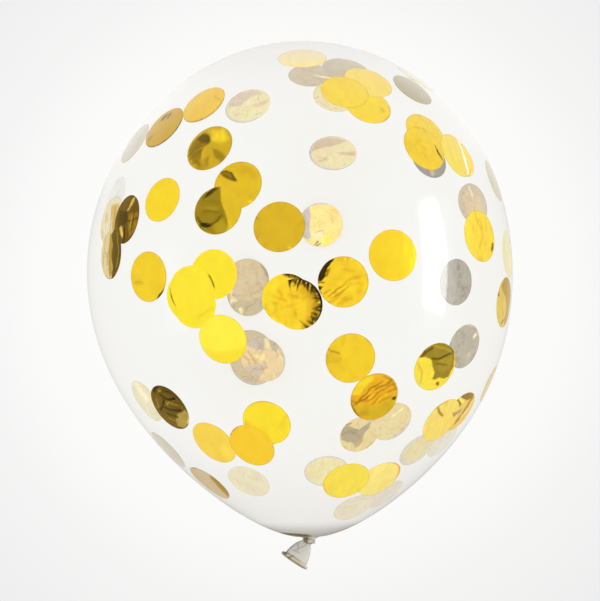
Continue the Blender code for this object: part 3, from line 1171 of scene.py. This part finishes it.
# Near side, right of the middle.
RIGHT_FOILS = (
    Foil(11, -17, 17.2, 17, 0.97,
         Patch(0.14, (-60, 90), (-35, 90), (-50, 70), (-65, 50), (-55, 50), (-70, 35), (-70, 25), (-85, 5),
               (-105, 5), (-95, 35), (-80, 60), soft=0.03),
         Patch(0.1, (-105, -15), (-80, -15), (-85, -25), (-95, -30), (-85, -45), (-100, -40), soft=0.03),
         Patch(0.56, (-70, 25), (-60, 50), (-50, 55), (-55, 35), (-65, 20)),
         Line(0.3, (-100, 0), (-75, 0), width=0.02),
         Line(0.78, (-75, -45), (-55, -30), width=0.025, warm=1.4),
         Line(0.78, (-60, -55), (-35, -35), (5, -10), width=0.025, warm=1.4),
         Line(0.8, (-45, -60), (-15, -45), (15, -20), width=0.025, warm=1.3),
         Line(0.84, (-65, -80), (-35, -70), (-10, -50), width=0.02, warm=1.2),
         Line(0.86, (0, -5), (25, 10), (60, 15), width=0.02, warm=1.1),
         Line(0.88, (35, 20), (80, 25), width=0.02, warm=1.0),
         Line(0.88, (-30, -85), (5, -80), (30, -60), width=0.02, warm=0.8),
         Line(0.98, (-45, -50), (-25, -35), (10, -15)),
         warm=0.35, creased=0.9),
    Foil(24.5, 0.5, 17.7, 17.2, 0.97, warm=0.34, creased=0.2),
    Foil(13, -67, 17, 17.4, 0.94,
         Patch(0.88, (-110, 45), (-80, 45), (-60, 20), (-70, -20), (-95, -35), soft=0.2, warm=0.2),
         Line(0.58, (-105, 40), (-70, 30), (-45, 20), width=0.02, warm=0.4),
         Line(0.72, (-80, 30), (-60, 25), width=0.02, warm=0.4),
         Line(0.82, (-85, 5), (-55, 0), (-30, -5), width=0.025, warm=0.3),
         Line(0.82, (-95, -15), (-70, -10), (-55, -15), width=0.025, warm=0.3),
         Line(0.86, (-25, 90), (-35, 55), (-40, 40), width=0.025, warm=0.3),
         warm=0.25, creased=0.5),
    Foil(21.5, -92.5, 17, 17.8, 0.9,
         Patch(0.97, (-100, 10), (-90, 50), (-50, 85), (-20, 90), (-15, 75), (-45, 45), (-70, 5), soft=0.1),
         Patch(0.8, (-80, -40), (-30, -35), (20, -40), (90, 5), (100, -40), (70, -75), (15, -95),
               (-40, -80), soft=0.12, warm=-0.1),
         Line(0.68, (-95, -15), (-70, -25), (-60, -5), (-35, 15), (-25, 40), (0, 50), (20, 65), width=0.035,
              warm=1.3),
         Line(0.64, (-75, -35), (-60, -15), (-40, -10), (-25, 5), (-5, 20), (5, 40), (40, 50), (65, 75),
              width=0.035, warm=1.3),
         Line(0.72, (-35, -20), (-10, -5), (10, 20), (35, 30), (50, 45), (80, 55), warm=1.1),
         Line(0.7, (-5, -30), (15, -5), (35, 5), (60, 25), (90, 35), warm=1.1),
         Line(0.76, (20, -25), (45, -10), (70, 5), warm=0.9),
         Line(0.98, (-25, -5), (-10, 15), (10, 35), width=0.025, warm=0.3),
         Line(0.98, (10, -20), (30, 0), (50, 15), width=0.025, warm=0.3),
         Line(0.62, (-95, -25), (-80, -50), (-55, -80), width=0.04, warm=0.6),
         Line(0.7, (25, 90), (65, 65), (90, 30), warm=0.8),
         Patch(0.1, (75, -5), (95, 0), (95, -15), (85, -15), soft=0.03, warm=0.5),
         warm=0.9, creased=0.8),
    Foil(41, -73, 18.5, 17.2, 0.99,
         Patch(0.54, (-90, 40), (-70, 75), (-35, 100), (20, 100), (75, 75), (90, 35), (95, 0), (75, -45),
               (55, -50), (30, -40), (10, -55), (-5, -50), (0, -25), (-15, 0), (-30, 30), (-55, 40),
               soft=0.03, warm=-0.4),
         Patch(0.62, (5, 30), (45, 35), (70, 50), (85, 25), (70, -10), (40, -25), (10, -15), soft=0.1,
               warm=-0.4),
         Line(0.2, (-25, 35), (10, 35), (30, 45), (75, 65), warm=0.4),
         Line(0.24, (-85, 40), (-65, 60), (-35, 80), warm=0.3),
         Line(0.3, (-65, 55), (-80, 75)),
         Line(0.7, (-30, 85), (20, 80), (70, 60), warm=-0.2),
         Line(0.38, (0, 15), (30, 10), (50, 10), width=0.025),
         Patch(0.44, (20, -65), (35, -60), (40, -80), (25, -75), soft=0.03),
         Line(0.84, (-90, 15), (-60, -25), (-55, -70)),
         gold=0.96, warm=-0.05, creased=0.5),
    Foil(54, -108.5, 18, 17.4, 0.99,
         Line(0.62, (-75, 65), (-50, 40), (-20, 25), width=0.05, gold=0.9, warm=0.5),
         Patch(0.66, (40, 35), (70, 40), (90, 50), (90, 30), (75, 15), (55, 25), soft=0.04, gold=0.6,
               warm=0.2),
         Line(0.86, (-90, 45), (-75, 65), (-30, 90), gold=0.9, warm=0.3),
         Line(1.0, (30, 0), (95, -30), (130, -55), width=0.04, gold=0.9, warm=0.4),
         gold=0.81, warm=0.09, creased=0.4),
    Foil(64, -102.5, 18.7, 15.5, 0.91,
         Patch(0.4, (-105, 60), (-80, 65), (-30, 40), (-35, 20), (-85, 40), soft=0.04, gold=0.9, warm=0.3),
         Patch(1.05, (-90, 75), (-55, 70), (-10, 50), (-35, 40), soft=0.03, gold=0.9),
         Patch(0.48, (-70, 85), (-20, 100), (40, 95), (45, 70), (-10, 60), (-55, 70), soft=0.05, gold=0.9,
               warm=0.3),
         Patch(0.62, (-80, 0), (-40, 5), (-5, 15), (-10, -15), (-40, -20), soft=0.05, gold=0.5, warm=0.1),
         Line(0.52, (45, 75), (40, 30), (30, -15), (10, -65), width=0.06, gold=0.9, warm=0.4),
         Line(0.62, (30, 65), (25, 10), (5, -50), width=0.05, gold=0.9, warm=0.7),
         Line(1.1, (55, 55), (50, 10), (30, -30), width=0.05, gold=0.6),
         gold=0.78, warm=0.12, layer=1, creased=0.5),
    Foil(73, -27.5, 20, 17.6, 0.84,
         Patch(0.6, (-65, 65), (-25, 100), (60, 105), (105, 80), (115, 15), (115, -40), (80, -90),
               (45, -100), (20, -75), (30, -25), (-5, 20), (-50, 45), gold=0.95),
         Line(0.34, (-150, 40), (-85, 25), width=0.05, gold=1.0),
         Line(0.5, (15, -65), (-20, -85), width=0.05, gold=0.9),
         Line(0.98, (75, -25), (85, 0), width=0.05, gold=0.8),
         Line(0.4, (65, 75), (75, 30), width=0.04),
         Line(0.86, (-150, 20), (-135, -35), (-80, -80), width=0.04, gold=0.9, warm=0.5),
         gold=0.85, warm=-0.54, creased=0.6),
    Foil(56, 16, 20, 17.8, 1.0,
         Line(0.92, (-20, 90), (-15, 55), (0, 30), warm=0.8),
         Line(0.94, (-45, 40), (-45, 5), warm=0.7),
         Line(0.92, (10, 45), (10, 5), (-15, -45), warm=0.8),
         Line(0.96, (45, 75), (40, 25), warm=0.6),
         Line(0.98, (-90, 30), (-90, -25), warm=0.5),
         Patch(0.42, (75, -20), (90, -25), (80, -50), (65, -60), (65, -45), soft=0.04, warm=0.2),
         gold=0.95, warm=0.12, creased=0.5),
)

# Near side, towards the neck.
NECK_FOILS = (
    Foil(-49.5, -95, 16.6, 17.5, 0.34,
         Patch(0.64, (30, -30), (90, -15), (100, -45), (60, -80), (20, -95), (-15, -85), (0, -55),
               soft=0.04, gold=0.85, warm=-0.2),
         Line(1.0, (115, 5), (100, -40), (60, -75), gold=0.7),
         Line(0.05, (-15, 60), (5, 45), (25, 35), (65, 40), width=0.05),
         Line(0.07, (-5, 40), (-35, 10), (-70, -10), width=0.045),
         Line(0.09, (-30, 5), (0, -10), (60, -15), width=0.045),
         Line(0.12, (15, 75), (50, 65), (90, 55), width=0.04),
         Line(0.12, (-35, -20), (-5, -35), (20, -45), width=0.04),
         Line(0.6, (-5, 30), (-5, 15), (20, 25), width=0.035),
         Line(0.56, (25, 20), (55, 10), (80, -5), width=0.035),
         Line(0.58, (-15, 75), (20, 85), width=0.035),
         Line(0.56, (-40, -45), (-10, -60), width=0.035),
         Line(0.6, (-55, 40), (-70, 5), width=0.035),
         Patch(0.1, (-50, 85), (-15, 105), (20, 105), (-15, 85), (-50, 65), soft=0.05),
         Patch(0.26, (15, 100), (65, 90), (100, 65), (110, 20), (80, 35), (45, 65), (5, 80), soft=0.08),
         Line(0.3, (65, 30), (70, -10), width=0.045),
         warm=0.06, creased=1.0),
    Foil(-63.5, -147, 15.8, 17, 0.77,
         Patch(0.6, (120, 65), (145, 25), (125, -25), (80, -75), (35, -90), (45, -50), (55, -5), (65, 35),
               soft=0.1, gold=0.9, warm=0.6),
         Line(0.42, (125, 50), (130, 10), (95, -60), width=0.05, gold=0.9, warm=0.7),
         Line(0.55, (-15, 100), (65, 95), (110, 75), width=0.05, gold=0.8),
         Line(0.62, (-30, 80), (-55, 25), (-55, -35), width=0.05, gold=0.5),
         Rim(0.56, 110, 240, 0.07, gold=0.5),
         gold=0.14, warm=0.1, creased=0.4),
    Foil(-38, -120, 16, 17.8, 0.98,
         Patch(1.03, (10, -40), (50, -10), (90, -50), (30, -90), soft=0.3, warm=0.4),
         gold=0.92, warm=0.4, layer=1, creased=0.2),
    Foil(-22, -122.5, 15.5, 18, 0.98,
         Rim(0.84, 98, 150, 0.06, warm=0.9),
         gold=0.99, warm=0.63, creased=0.2),
    Foil(-14, -108, 16.4, 17.8, 1.0,
         Line(0.9, (95, 30), (75, 10), (55, -15), warm=0.5),
         Line(0.92, (-85, 10), (-75, -30), width=0.06, soft=0.1, warm=0.6),
         Rim(0.92, 60, 130, 0.06, warm=0.4),
         warm=0.08, layer=1, creased=0.2),
    Foil(19, -148, 16.3, 17.6, 1.0,
         Rim(0.98, 150, 262, 0.1, soft=0.15, warm=0.4),
         gold=0.93, warm=0.01, creased=0.2),
    Foil(38, -147.5, 16.5, 17, 1.04,
         Rim(0.92, -15, 85, 0.08, soft=0.08, warm=0.9),
         gold=0.76, warm=0.01, layer=1),
)

# Far side: their inner faces are looked at.
FAR_FOILS = (
    Foil(-100.5, 98, 16.8, 16.4, 0.8, gold=0.21, warm=-0.12),
    Foil(-107, 61.5, 14.5, 15.2, 0.96, gold=0.0, warm=-0.07),
    Foil(-164.5, -49.5, 17, 17.6, 0.8, gold=0.38, creased=0.6),
    Foil(173.5, 46, 16.8, 17, 1.07,
         Patch(0.82, (-100, 90), (-50, 90), (-45, 35), (-55, -15), (-45, -50), (-60, -70), (-95, -45),
               soft=0.08, gold=0.05),
         Patch(1.15, (5, -60), (40, -45), (60, -65), (25, -90), (0, -85), soft=0.1, gold=0.9),
         Patch(1.1, (40, -5), (75, -20), (65, -40), (40, -30), soft=0.1, gold=0.75),
         Patch(1.08, (-40, -30), (5, -30), (5, -60), (-40, -60), soft=0.2, gold=0.5),
         Line(0.5, (-30, -90), (-15, -75), gold=0.3),
         Line(0.56, (-20, -95), (-5, -85), gold=0.3),
         Line(0.9, (-25, -35), (5, -25), (10, -45), width=0.025, gold=0.6, warm=0.3),
         Rim(0.88, 60, 130, 0.08, gold=0.1),
         gold=0.67, warm=0.15, creased=0.7),
    Foil(-164.5, 5.5, 17, 16.3, 0.84,
         Patch(1.03, (-100, -10), (-75, 0), (-70, -60), (-100, -90), soft=0.15, gold=0.35),
         Rim(0.7, -20, 60, 0.06, soft=0.08, gold=0.2),
         gold=0.4, warm=0.05, layer=1, creased=0.7),
    Foil(-164.5, -5.5, 16, 16.3, 0.78,
         Patch(1.03, (-85, 25), (-55, 20), (-55, -30), (-85, -40), soft=0.15, gold=0.4),
         Patch(1.03, (-50, -60), (-30, -60), (-25, -90), (-45, -90), soft=0.1, gold=0.5),
         gold=0.36, warm=-0.1, creased=0.8),
    Foil(-164, -58, 17.4, 17.9, 0.82,
         Rim(0.8, 180, 300, 0.12, gold=0.1),
         gold=0.38, warm=0.15, layer=1, creased=0.8),
    Foil(-167.5, -55.5, 17, 17.8, 0.95,
         Patch(0.8, (-65, 135), (-20, 130), (20, 110), (15, 50), (-25, 45), (-65, 65), gold=0.22),
         Patch(1.0, (15, 105), (35, 80), (40, 55), (20, 60), soft=0.08, gold=0.5),
         Patch(0.76, (35, 90), (60, 85), (80, 55), (65, 35), (45, 45), soft=0.05, gold=0.2),
         Patch(0.82, (-95, -35), (-35, -15), (5, -20), (-5, -50), (-35, -95), (-90, -110), (-100, -75),
               soft=0.1, gold=0.28),
         Line(0.84, (-65, 40), (-45, 10), (-35, -15), width=0.04, gold=0.6, warm=0.8),
         Line(0.86, (-85, 20), (-65, -5), (-65, -25), width=0.04, gold=0.6, warm=0.7),
         Patch(1.02, (-35, 20), (10, 30), (10, 5), (-20, -5), soft=0.12, gold=0.6),
         Line(0.99, (75, 35), (85, 0), width=0.04, gold=0.45),
         Rim(0.84, -60, 40, 0.05, gold=0.1),
         gold=0.44, warm=0.45, layer=2, creased=0.8),
    Foil(159.5, -114, 15, 16.5, 0.92,
         Patch(0.7, (-100, 10), (-95, 45), (-70, 55), (-45, 40), (-10, 30), (45, 70), (40, 30), (20, 0),
               (0, -40), (-10, -60), (-35, -40), (-55, -45), (-85, -30), soft=0.05, gold=0.35),
         Patch(0.78, (25, 15), (5, -35), (-20, -70), (5, -75), (25, -35), gold=0.5, warm=0.2),
         Line(0.6, (-110, 40), (-85, 55), (-55, 65), width=0.035, gold=0.5, warm=0.2),
         Line(0.62, (-90, 0), (-60, 20), (-25, 10), gold=0.4, warm=0.2),
         gold=0.53, warm=0.01, creased=0.6),
    Foil(147.5, -105.5, 17, 17, 0.93,
         Rim(0.86, -80, 0, 0.2, soft=0.15, gold=0.15),
         Line(1.1, (0, 30), (40, 70), gold=0.45),
         gold=0.49, warm=0.02, layer=1, creased=0.6),
    Foil(123.5, -52, 18.4, 17, 0.73,
         Patch(1.05, (40, 35), (55, 60), (75, 50), (55, 30), gold=0.4),
         Patch(0.84, (20, -40), (60, -20), (50, -60), soft=0.2, gold=0.2),
         Rim(0.9, 20, 120, 0.06, gold=0.2),
         gold=0.19, warm=-0.18, creased=1.0),
    Foil(127, -127, 15.6, 15, 0.92,
         Rim(0.9, 0, 360, 0.25, soft=0.2, gold=0.15),
         gold=0.49, warm=-0.18),
    Foil(111, -121.5, 17.2, 14.5, 0.91, gold=0.16, warm=-0.04),
    Foil(92, -82, 16.7, 14.5, 0.81, gold=1.0, warm=0.07),
    Foil(95.5, 10.5, 18.3, 17.2, 0.93, gold=0.64, warm=-0.5),
    Foil(92.5, 62.5, 17.3, 16, 0.78, gold=0.46, warm=-0.36),
    Foil(116.5, 51.5, 20, 15.5, 0.84,
         Patch(0.9, (-60, 40), (-20, 70), (20, 50), (60, 20), (60, -70), (-50, -70), soft=0.15, gold=0.35,
               warm=0.3),
         Line(1.02, (0, 85), (5, 35), width=0.05, gold=0.3),
         gold=0.23, warm=0.14, creased=0.5),
    Foil(129.5, -3.5, 17.7, 17.3, 0.69, gold=0.13, warm=-0.17, creased=1.0),
)

# Far side too, towards the crown and then towards the neck.
BACK_FOILS = (
    Foil(131, 88, 16.7, 16.2, 0.62,
         Line(0.82, (-14, -63), (-16, -75), width=0.14, soft=0.06, gold=0.3, warm=0.5),
         gold=0.0),
    Foil(87, 136, 17.3, 16.2, 0.6,
         Line(0.6, (-90, -20), (70, -40), width=0.25, soft=0.2, gold=0.8, warm=0.6),
         Line(1.02, (-40, 50), (90, 50), width=0.2, soft=0.3, gold=0.3),
         gold=0.8, warm=0.5),
    Foil(110.5, 132.5, 17, 16.5, 0.69, gold=0.43, warm=-0.19, creased=0.5),
    Foil(171.5, 149, 16.7, 14.5, 0.83,
         Patch(1.06, (5, 0), (90, -25), (90, -45), (50, -30), gold=0.45),
         gold=0.24, warm=0.14, creased=0.6),
    Foil(143, 151, 17.8, 15.8, 0.79, gold=0.25, warm=-0.07, layer=1, creased=0.5),
    Foil(161.5, 135.5, 16.3, 16.2, 0.96,
         Line(0.9, (-80, -30), (-40, -80), gold=0.2),
         Line(0.84, (-95, 0), (-75, 10), gold=0.3),
         gold=0.44, warm=-0.01, layer=2, creased=0.5),
    Foil(-155, 130.5, 17.3, 17.2, 0.97,
         Patch(0.88, (-85, -15), (-95, 40), (-60, 80), (10, 95), (40, 80), (-10, 40), (-30, 0), soft=0.1,
               gold=0.2, warm=0.3),
         Patch(0.92, (20, 0), (60, 30), (85, 45), (85, 20), (45, -10), soft=0.1, gold=0.25, warm=0.5),
         Line(0.9, (-35, -65), (-10, -50), gold=0.2),
         Line(0.86, (-40, -50), (-25, -45), gold=0.2),
         Line(0.86, (55, -50), (75, -35), gold=0.2),
         Rim(0.86, 150, 320, 0.1, soft=0.08, gold=0.05),
         gold=0.42, warm=-0.14, creased=0.5),
    Foil(168, 97.5, 18.2, 14.5, 0.97,
         Patch(0.87, (-100, 15), (-70, 60), (-30, 90), (20, 90), (65, 70), (20, 45), (-40, 35), soft=0.08,
               gold=0.25, warm=0.4),
         Patch(0.88, (20, 0), (95, 5), (95, -20), (40, -15), soft=0.08, gold=0.3, warm=0.5),
         Line(0.86, (-65, -45), (-30, -30), gold=0.3),
         Line(0.82, (35, -75), (50, -65), gold=0.1),
         Rim(0.86, 60, 320, 0.1, soft=0.08, gold=0.05),
         gold=0.42, creased=0.5),
    Foil(-115, -86.5, 16, 17, 0.95,
         Line(0.94, (-60, 80), (-30, 20), (0, -40), gold=0.1),
         Patch(1.1, (-40, 90), (10, 90), (40, 10), (0, 0), soft=0.2, gold=0.4),
         Line(0.9, (20, -20), (50, -70), width=0.05, gold=0.1),
         gold=0.32, warm=-0.2, creased=0.5),
    Foil(-101.5, -122.5, 16.7, 17, 0.76, gold=0.32, warm=-0.14),
    Foil(-145.5, -146.5, 16.2, 16.6, 0.96,
         Rim(0.96, 100, 170, 0.12, soft=0.1, gold=0.1),
         Line(0.92, (50, 35), (60, 15), gold=0.2),
         gold=0.3),
    Foil(171.5, -140.5, 16.4, 16, 0.97,
         Rim(0.9, 0, 360, 0.1, soft=0.1, gold=0.1),
         gold=0.46, warm=-0.15),
    Foil(141, -167.5, 15.8, 16, 0.95, gold=0.23, warm=0.02, layer=1),
    Foil(123, -158.5, 15.5, 15.8, 0.91, gold=0.14),
)

CONFETTI = {
    "crown_confetti": CROWN_FOILS,
    "left_confetti": LEFT_FOILS,
    "right_confetti": RIGHT_FOILS,
    "neck_confetti": NECK_FOILS,
    "far_confetti": FAR_FOILS,
    "back_confetti": BACK_FOILS,
}


# ---------------------------------------------------------------- studio

FLOOR_GAP = 0.3 * MM
FLOOR_DIFFUSE = 0.18
BACKDROP_LEVEL = 1.0

# The pool of light painted on the floor as its glow: distance from its middle in metres, and brightness.
POOL = (
    (0.0, 0.991),
    (0.150, 0.990),
    (0.190, 0.974),
    (0.215, 0.952),
    (0.257, 0.905),
    (0.320, 0.863),
    (0.500, 0.870),
    (1.500, 1.0),
)
POOL_REACH = 2.0

# The soft box: what it adds to the dome, its azimuth in degrees and its height, as soft-edged bands.
BOX_LEVEL = 3.5
BOX_AZIMUTH = ((-15, -11), (20, 26))
BOX_HEIGHT = ((0.07, 0.10), (0.28, 0.40))

# Camera: straight above the balloon but for a small pitch and roll, in radians.
CAMERA_PITCH = 0.06
CAMERA_ROLL = 0.027
CAMERA_X = -0.0004
CAMERA_Y = -0.0196


def floor_material():
    material, graph = new_material("pale_floor")
    place = graph.node("TexCoord", output="Object")
    reach = graph.node("VectorMath", {"operation": "LENGTH"}, {0: place}, output="Value")
    spill = FLOOR_DIFFUSE * DOME_LEVEL
    stops = [(distance / POOL_REACH, grey(level - spill)) for distance, level in POOL]
    pool = graph.node("ValToRGB", {"stops": stops}, {"Fac": reach / POOL_REACH})
    # The floor glows: the painted pool where it is seen, and a brighter even glow where the foil and skin
    # mirror it.
    shown = graph.node("Emission", sockets={"Color": pool})
    mirrored = graph.node("Emission", sockets={"Color": grey(DOME_LEVEL - spill)})
    in_foil = graph.node("LightPath", output="Is Glossy Ray")
    glow = graph.node("MixShader", sockets={0: in_foil, 1: shown, 2: mirrored})
    board = graph.node("BsdfDiffuse", sockets={"Color": grey(FLOOR_DIFFUSE)})
    graph.finish(graph.node("AddShader", sockets={0: glow, 1: board}))
    return material


def make_floor(settings):
    build = bmesh.new()
    bmesh.ops.create_grid(build, x_segments=1, y_segments=1, size=0.5 * settings.floor_size)
    bmesh.ops.translate(build, verts=build.verts, vec=(0.0, 0.0, -FLOOR_GAP))
    floor = piece_from(build, "floor", floor_material())


def make_world():
    """White soft light all round, brighter from a tall soft box on +X."""
    world = bpy.data.worlds.new("studio")
    bpy.context.scene.world = world
    world.use_nodes = True
    graph = Graph(world.node_tree)
    x, y, z = graph.axes(graph.node("TexCoord", output="Generated"))
    rise, fall = np.radians(BOX_AZIMUTH)
    box = y.math("ARCTAN2", x).band(rise, fall) * z.band(*BOX_HEIGHT)
    lamp_looks = {"Color": grey(1.0), "Strength": DOME_LEVEL + BOX_LEVEL * box}
    lamp = graph.node("Background", sockets=lamp_looks)
    backdrop = graph.node("Background", sockets={"Color": grey(1.0), "Strength": BACKDROP_LEVEL})
    seen = graph.node("LightPath", output="Is Camera Ray")
    both = graph.node("MixShader", sockets={0: seen, 1: lamp, 2: backdrop})
    graph.finish(both, "OutputWorld")


def make_camera(settings):
    data = bpy.data.cameras.new("camera")
    data.sensor_width = 36.0
    data.lens = settings.lens
    camera = bpy.data.objects.new("camera", data)
    bpy.context.scene.collection.objects.link(camera)
    away = settings.camera_distance
    spot = Vector((
        CAMERA_X,
        CAMERA_Y - away * math.sin(CAMERA_PITCH),
        AXIS_HEIGHT + away * math.cos(CAMERA_PITCH),
    ))
    camera.matrix_world = (
        Matrix.Translation(spot)
        @ Matrix.Rotation(CAMERA_PITCH, 4, "X")
        @ Matrix.Rotation(-CAMERA_ROLL, 4, "Z")
    )
    bpy.context.scene.camera = camera


# ---------------------------------------------------------------- operators


class MESH_OT_balloon_latex(bpy.types.Operator):
    """Make the clear skin with its knot and tail"""

    bl_idname = "mesh.balloon_latex"
    bl_label = "Balloon Latex"

    def execute(self, context):
        slack = slack_material()
        skin = make_skin(context.scene.balloon_settings)
        for piece in (skin, make_knot(slack), make_tail(slack)):
            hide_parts("balloon")
            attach(piece, "root")
        return {"FINISHED"}


class MESH_OT_balloon_confetti(bpy.types.Operator):
    """Lay the foil circles inside the skin"""

    bl_idname = "mesh.balloon_confetti"
    bl_label = "Balloon Confetti"

    def execute(self, context):
        settings = context.scene.confetti_settings
        gold = foil_material(settings, "gold_foil", GOLD_GLANCE)
        silver = foil_material(settings, "silver_side_foil", SILVER_GLANCE)
        for seed, (name, foils) in enumerate(CONFETTI.items()):
            piece = make_confetti(name, foils, silver if foils[0].far else gold, seed)
            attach(piece, "root")
        return {"FINISHED"}


class SCENE_OT_balloon_studio(bpy.types.Operator):
    """Set up the floor, the soft light and the camera"""

    bl_idname = "scene.balloon_studio"
    bl_label = "Balloon Studio"

    def execute(self, context):
        settings = context.scene.studio_settings
        make_floor(settings)
        make_world()
        make_camera(settings)
        context.scene.view_settings.view_transform = "Standard"
        return {"FINISHED"}


class VIEW3D_PT_balloon(bpy.types.Panel):
    bl_label = "Confetti Balloon"
    bl_idname = "VIEW3D_PT_balloon"
    bl_space_type = "VIEW_3D"
    bl_region_type = "UI"
    bl_category = "Balloon"

    def draw(self, context):
        layout = self.layout
        scene = context.scene
        groups = (scene.balloon_settings, scene.confetti_settings, scene.studio_settings)
        for group in groups:
            box = layout.box()
            for name in group.__annotations__:
                box.prop(group, name)
        for kind in OPERATORS:
            layout.operator(kind.bl_idname)


OPERATORS = (SCENE_OT_balloon_studio, MESH_OT_balloon_latex, MESH_OT_balloon_confetti)
CLASSES = (BalloonSettings, ConfettiSettings, StudioSettings, *OPERATORS, VIEW3D_PT_balloon)


def register():
    for kind in CLASSES:
        bpy.utils.register_class(kind)
    bpy.types.Scene.balloon_settings = PointerProperty(type=BalloonSettings)
    bpy.types.Scene.confetti_settings = PointerProperty(type=ConfettiSettings)
    bpy.types.Scene.studio_settings = PointerProperty(type=StudioSettings)


def unregister():
    del bpy.types.Scene.studio_settings
    del bpy.types.Scene.confetti_settings
    del bpy.types.Scene.balloon_settings
    for kind in reversed(CLASSES):
        bpy.utils.unregister_class(kind)


def main():
    register()
    bpy.ops.scene.balloon_studio()
    bpy.ops.mesh.balloon_latex()
    bpy.ops.mesh.balloon_confetti()


if __name__ == "__main__":
    main()
